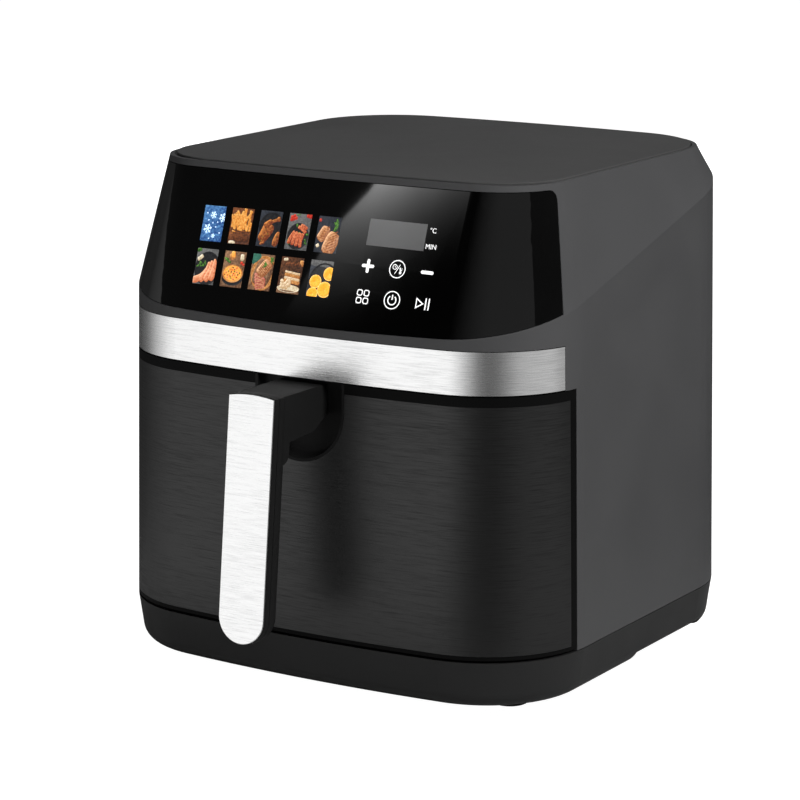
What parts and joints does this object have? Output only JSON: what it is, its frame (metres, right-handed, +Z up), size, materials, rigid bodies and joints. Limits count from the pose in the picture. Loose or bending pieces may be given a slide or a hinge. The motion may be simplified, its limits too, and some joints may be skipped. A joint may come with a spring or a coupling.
{
  "type": "air fryer",
  "caption": "Drawer-type air fryer with a bowed front, sloping touch panel, side-wrapping steel band, strip-faced handle on a pull-out pan, crisper tray, heater and fan.",
  "frame": {"origin": "centre of the body footprint, on the surface that the feet stand on", "axes": "+Z up, -Y out of the front (the way the drawer opens), +X to the right seen from the front"},
  "size_m": [0.3, 0.3529, 0.3072],
  "materials": {
    "housing_matte": "satin dark grey",
    "top_matte": "matte dark grey",
    "gloss_black": "gloss black",
    "picture_print": "backlit print",
    "display_grey": "unlit display",
    "icon_white": "backlit white",
    "dark_plastic": "matte black",
    "base_plastic": "matte black",
    "grip_plastic": "satin black",
    "bright_steel": "brushed",
    "black_steel": "black, brushed",
    "sheet_steel": "aluminised sheet",
    "sheath_steel": "heat-darkened",
    "nonstick": "non-stick coating",
    "motor_paint": "plated",
    "aluminium": "bare",
    "fan_plastic": "natural",
    "fastener": "plated",
    "rubber": "matte",
    "silicone": "matte",
    "circuit_board": "solder mask",
    "component": "moulded",
    "switch_plastic": "moulded"
  },
  "bodies": {
    "housing": {"housing_shell": "housing_matte", "steel_band": "bright_steel", "rear_vent_cover": "dark_plastic", "cord_gland": "rubber", "top_trim": "gloss_black", "top_cover": "top_matte", "control_panel": "gloss_black", "menu_pictures": "picture_print", "time_display": "display_grey", "touch_icons": "icon_white", "panel_carrier": "dark_plastic", "touch_board": "circuit_board", "base_housing": "base_plastic", "base_plate": "base_plastic", "front_sill": "dark_plastic", "front_frame": "dark_plastic", "foot_front_left": "rubber", "foot_front_right": "rubber", "foot_rear_left": "rubber", "foot_rear_right": "rubber", "base_screws": "fastener", "chamber_supports": "sheet_steel", "chamber": "sheet_steel", "exhaust_duct": "sheet_steel", "heating_element": "sheath_steel", "element_brackets": "sheet_steel", "heater_guard": "bright_steel", "motor_body": "motor_paint", "motor_bracket": "sheet_steel", "motor_screws": "fastener", "power_board": "circuit_board", "board_components": "component", "board_standoffs": "fan_plastic", "temperature_sensor": "bright_steel", "thermal_cutout": "motor_paint", "microswitch_body": "component", "drawer_rail_left": "sheet_steel", "drawer_rail_right": "sheet_steel", "catch_spring_left": "bright_steel", "catch_spring_right": "bright_steel"},
    "drawer": {"door_shell": "dark_plastic", "door_skin": "black_steel", "handle_pocket": "gloss_black", "door_back": "dark_plastic", "door_gasket": "silicone", "handle_front_shell": "grip_plastic", "handle_rear_shell": "grip_plastic", "handle_strip": "bright_steel", "handle_screws": "fastener", "door_screws": "fastener", "basket_pan": "nonstick", "pan_bracket": "sheet_steel"},
    "crisper_tray": {"crisper_plate": "nonstick", "tray_feet": "silicone"},
    "fan_rotor": {"convection_fan": "aluminium", "cooling_fan": "fan_plastic", "motor_shaft": "bright_steel", "fan_nuts": "fastener"},
    "switch_plunger_body": {"switch_plunger": "switch_plastic"}
  },
  "joints": [
    {"name": "drawer_slide", "type": "slide", "parent": "housing", "child": "drawer", "axis": [0, -1, 0], "range_m": [0, 0.25]},
    {"name": "tray_lift", "type": "slide", "parent": "drawer", "child": "crisper_tray", "axis": [0, 0, 1], "range_m": [0, 0.11]},
    {"name": "fan_spin", "type": "hinge", "parent": "housing", "child": "fan_rotor", "pos_m": [0, -0.01, 0.236], "axis": [0, 0, 1], "continuous": true},
    {"name": "switch_press", "type": "slide", "parent": "housing", "child": "switch_plunger_body", "axis": [0, 1, 0], "range_m": [0, 0.0015], "stiffness_N_per_m": 600, "springref_m": -0.001}
  ]
}
